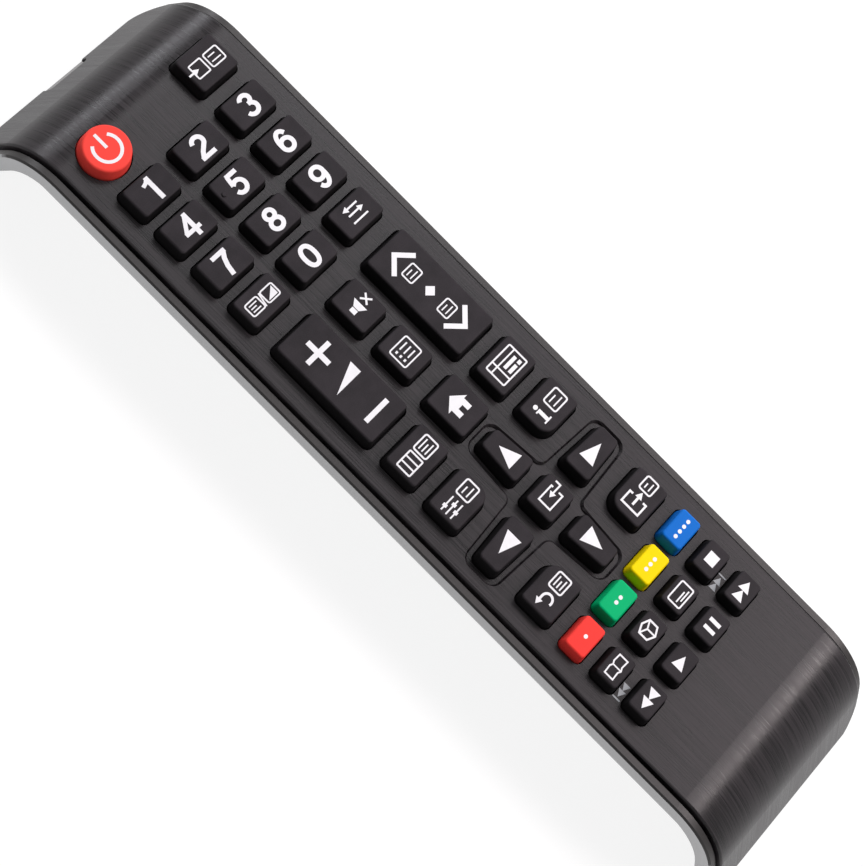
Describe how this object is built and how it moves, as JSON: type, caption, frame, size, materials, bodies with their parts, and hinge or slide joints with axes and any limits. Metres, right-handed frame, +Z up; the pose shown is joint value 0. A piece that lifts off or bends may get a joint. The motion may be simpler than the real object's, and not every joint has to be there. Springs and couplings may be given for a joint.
{
  "type": "television remote control",
  "caption": "Slim slab-shaped television remote control with sloping ends, a brushed top cover, soft raised keys, rockers, an arrow pad and a sliding battery cover underneath.",
  "frame": {"origin": "middle of the case's footprint, on the surface it lies on", "axes": "+X to the right with the keys upright, +Y along the case towards the infrared end, +Z up through the keys"},
  "size_m": [0.047, 0.1852, 0.0214],
  "materials": {
    "brushed_cover": "brushed along the length, satin",
    "case_gloss": "polished",
    "cover_gloss": "polished",
    "window": "dark, clear to infrared",
    "board": "solder mask",
    "keypad_sheet": "satin",
    "cell_wrap": "printed wrap",
    "contact": "nickel plate",
    "led_lens": "tinted resin",
    "chip": "moulded epoxy",
    "can_sleeve": "shrink sleeve",
    "ceramic": "dipped",
    "key_rubber": "matte",
    "key_red": "matte",
    "key_green": "matte",
    "key_yellow": "matte",
    "key_blue": "matte"
  },
  "bodies": {
    "case": {"top_cover": "brushed_cover", "bottom_cover": "case_gloss", "ir_window": "window", "circuit_board": "board", "keypad_mat": "keypad_sheet", "battery_left": "cell_wrap", "battery_right": "cell_wrap", "positive_contact": "contact", "negative_contact": "contact", "bridge_contact": "contact", "ir_led": "led_lens", "controller_chip": "chip", "capacitor": "can_sleeve", "resonator": "ceramic", "transistor": "chip", "resistors": "chip"},
    "battery_cover": {"battery_cover": "cover_gloss"},
    "key_1": {"key_1": "key_rubber"},
    "key_2": {"key_2": "key_rubber"},
    "key_3": {"key_3": "key_rubber"},
    "key_4": {"key_4": "key_rubber"},
    "key_5": {"key_5": "key_rubber"},
    "key_6": {"key_6": "key_rubber"},
    "key_7": {"key_7": "key_rubber"},
    "key_8": {"key_8": "key_rubber"},
    "key_9": {"key_9": "key_rubber"},
    "key_text": {"key_text": "key_rubber"},
    "key_0": {"key_0": "key_rubber"},
    "key_previous": {"key_previous": "key_rubber"},
    "key_power": {"key_power": "key_red"},
    "key_source": {"key_source": "key_rubber"},
    "key_volume": {"key_volume": "key_rubber"},
    "key_channel": {"key_channel": "key_rubber"},
    "key_mute": {"key_mute": "key_rubber"},
    "key_channel_list": {"key_channel_list": "key_rubber"},
    "key_menu": {"key_menu": "key_rubber"},
    "key_guide": {"key_guide": "key_rubber"},
    "key_home": {"key_home": "key_rubber"},
    "key_tools": {"key_tools": "key_rubber"},
    "key_info": {"key_info": "key_rubber"},
    "key_return": {"key_return": "key_rubber"},
    "key_exit": {"key_exit": "key_rubber"},
    "key_enter": {"key_enter": "key_rubber"},
    "key_up": {"key_up": "key_rubber"},
    "key_down": {"key_down": "key_rubber"},
    "key_left": {"key_left": "key_rubber"},
    "key_right": {"key_right": "key_rubber"},
    "key_red": {"key_red": "key_red"},
    "key_green": {"key_green": "key_green"},
    "key_yellow": {"key_yellow": "key_yellow"},
    "key_blue": {"key_blue": "key_blue"},
    "key_manual": {"key_manual": "key_rubber"},
    "key_depth": {"key_depth": "key_rubber"},
    "key_subtitle": {"key_subtitle": "key_rubber"},
    "key_stop": {"key_stop": "key_rubber"},
    "key_rewind": {"key_rewind": "key_rubber"},
    "key_play": {"key_play": "key_rubber"},
    "key_pause": {"key_pause": "key_rubber"},
    "key_forward": {"key_forward": "key_rubber"}
  },
  "joints": [
    {"name": "battery_cover_slide", "type": "slide", "parent": "case", "child": "battery_cover", "axis": [0, -1, 0], "range_m": [0, 0.055]},
    {"name": "key_volume_rock", "type": "hinge", "parent": "case", "child": "key_volume", "pos_m": [-0.012, 0.0183, 0.0165], "axis": [1, 0, 0], "range_deg": [-2.5, 2.5], "stiffness_Nm_per_rad": 0.25},
    {"name": "key_channel_rock", "type": "hinge", "parent": "case", "child": "key_channel", "pos_m": [0.012, 0.0183, 0.0165], "axis": [1, 0, 0], "range_deg": [-2.5, 2.5], "stiffness_Nm_per_rad": 0.25},
    {"name": "key_1_press", "type": "slide", "parent": "case", "child": "key_1", "axis": [0, 0, -1], "range_m": [0, 0.0008], "stiffness_N_per_m": 1500},
    {"name": "key_2_press", "type": "slide", "parent": "case", "child": "key_2", "axis": [0, 0, -1], "range_m": [0, 0.0008], "stiffness_N_per_m": 1500},
    {"name": "key_3_press", "type": "slide", "parent": "case", "child": "key_3", "axis": [0, 0, -1], "range_m": [0, 0.0008], "stiffness_N_per_m": 1500},
    {"name": "key_4_press", "type": "slide", "parent": "case", "child": "key_4", "axis": [0, 0, -1], "range_m": [0, 0.0008], "stiffness_N_per_m": 1500},
    {"name": "key_5_press", "type": "slide", "parent": "case", "child": "key_5", "axis": [0, 0, -1], "range_m": [0, 0.0008], "stiffness_N_per_m": 1500},
    {"name": "key_6_press", "type": "slide", "parent": "case", "child": "key_6", "axis": [0, 0, -1], "range_m": [0, 0.0008], "stiffness_N_per_m": 1500},
    {"name": "key_7_press", "type": "slide", "parent": "case", "child": "key_7", "axis": [0, 0, -1], "range_m": [0, 0.0008], "stiffness_N_per_m": 1500},
    {"name": "key_8_press", "type": "slide", "parent": "case", "child": "key_8", "axis": [0, 0, -1], "range_m": [0, 0.0008], "stiffness_N_per_m": 1500},
    {"name": "key_9_press", "type": "slide", "parent": "case", "child": "key_9", "axis": [0, 0, -1], "range_m": [0, 0.0008], "stiffness_N_per_m": 1500},
    {"name": "key_text_press", "type": "slide", "parent": "case", "child": "key_text", "axis": [0, 0, -1], "range_m": [0, 0.0008], "stiffness_N_per_m": 1500},
    {"name": "key_0_press", "type": "slide", "parent": "case", "child": "key_0", "axis": [0, 0, -1], "range_m": [0, 0.0008], "stiffness_N_per_m": 1500},
    {"name": "key_previous_press", "type": "slide", "parent": "case", "child": "key_previous", "axis": [0, 0, -1], "range_m": [0, 0.0008], "stiffness_N_per_m": 1500},
    {"name": "key_power_press", "type": "slide", "parent": "case", "child": "key_power", "axis": [0, 0, -1], "range_m": [0, 0.0008], "stiffness_N_per_m": 1500},
    {"name": "key_source_press", "type": "slide", "parent": "case", "child": "key_source", "axis": [0, 0, -1], "range_m": [0, 0.0008], "stiffness_N_per_m": 1500},
    {"name": "key_mute_press", "type": "slide", "parent": "case", "child": "key_mute", "axis": [0, 0, -1], "range_m": [0, 0.0008], "stiffness_N_per_m": 1500},
    {"name": "key_channel_list_press", "type": "slide", "parent": "case", "child": "key_channel_list", "axis": [0, 0, -1], "range_m": [0, 0.0008], "stiffness_N_per_m": 1500},
    {"name": "key_menu_press", "type": "slide", "parent": "case", "child": "key_menu", "axis": [0, 0, -1], "range_m": [0, 0.0008], "stiffness_N_per_m": 1500},
    {"name": "key_guide_press", "type": "slide", "parent": "case", "child": "key_guide", "axis": [0, 0, -1], "range_m": [0, 0.0008], "stiffness_N_per_m": 1500},
    {"name": "key_home_press", "type": "slide", "parent": "case", "child": "key_home", "axis": [0, 0, -1], "range_m": [0, 0.0008], "stiffness_N_per_m": 1500},
    {"name": "key_tools_press", "type": "slide", "parent": "case", "child": "key_tools", "axis": [0, 0, -1], "range_m": [0, 0.0008], "stiffness_N_per_m": 1500},
    {"name": "key_info_press", "type": "slide", "parent": "case", "child": "key_info", "axis": [0, 0, -1], "range_m": [0, 0.0008], "stiffness_N_per_m": 1500},
    {"name": "key_return_press", "type": "slide", "parent": "case", "child": "key_return", "axis": [0, 0, -1], "range_m": [0, 0.0008], "stiffness_N_per_m": 1500},
    {"name": "key_exit_press", "type": "slide", "parent": "case", "child": "key_exit", "axis": [0, 0, -1], "range_m": [0, 0.0008], "stiffness_N_per_m": 1500},
    {"name": "key_enter_press", "type": "slide", "parent": "case", "child": "key_enter", "axis": [0, 0, -1], "range_m": [0, 0.0008], "stiffness_N_per_m": 1500},
    {"name": "key_up_press", "type": "slide", "parent": "case", "child": "key_up", "axis": [0, 0, -1], "range_m": [0, 0.0008], "stiffness_N_per_m": 1500},
    {"name": "key_down_press", "type": "slide", "parent": "case", "child": "key_down", "axis": [0, 0, -1], "range_m": [0, 0.0008], "stiffness_N_per_m": 1500},
    {"name": "key_left_press", "type": "slide", "parent": "case", "child": "key_left", "axis": [0, 0, -1], "range_m": [0, 0.0008], "stiffness_N_per_m": 1500},
    {"name": "key_right_press", "type": "slide", "parent": "case", "child": "key_right", "axis": [0, 0, -1], "range_m": [0, 0.0008], "stiffness_N_per_m": 1500},
    {"name": "key_red_press", "type": "slide", "parent": "case", "child": "key_red", "axis": [0, 0, -1], "range_m": [0, 0.0008], "stiffness_N_per_m": 1500},
    {"name": "key_green_press", "type": "slide", "parent": "case", "child": "key_green", "axis": [0, 0, -1], "range_m": [0, 0.0008], "stiffness_N_per_m": 1500},
    {"name": "key_yellow_press", "type": "slide", "parent": "case", "child": "key_yellow", "axis": [0, 0, -1], "range_m": [0, 0.0008], "stiffness_N_per_m": 1500},
    {"name": "key_blue_press", "type": "slide", "parent": "case", "child": "key_blue", "axis": [0, 0, -1], "range_m": [0, 0.0008], "stiffness_N_per_m": 1500},
    {"name": "key_manual_press", "type": "slide", "parent": "case", "child": "key_manual", "axis": [0, 0, -1], "range_m": [0, 0.0008], "stiffness_N_per_m": 1500},
    {"name": "key_depth_press", "type": "slide", "parent": "case", "child": "key_depth", "axis": [0, 0, -1], "range_m": [0, 0.0008], "stiffness_N_per_m": 1500},
    {"name": "key_subtitle_press", "type": "slide", "parent": "case", "child": "key_subtitle", "axis": [0, 0, -1], "range_m": [0, 0.0008], "stiffness_N_per_m": 1500},
    {"name": "key_stop_press", "type": "slide", "parent": "case", "child": "key_stop", "axis": [0, 0, -1], "range_m": [0, 0.0008], "stiffness_N_per_m": 1500},
    {"name": "key_rewind_press", "type": "slide", "parent": "case", "child": "key_rewind", "axis": [0, 0, -1], "range_m": [0, 0.0008], "stiffness_N_per_m": 1500},
    {"name": "key_play_press", "type": "slide", "parent": "case", "child": "key_play", "axis": [0, 0, -1], "range_m": [0, 0.0008], "stiffness_N_per_m": 1500},
    {"name": "key_pause_press", "type": "slide", "parent": "case", "child": "key_pause", "axis": [0, 0, -1], "range_m": [0, 0.0008], "stiffness_N_per_m": 1500},
    {"name": "key_forward_press", "type": "slide", "parent": "case", "child": "key_forward", "axis": [0, 0, -1], "range_m": [0, 0.0008], "stiffness_N_per_m": 1500}
  ]
}
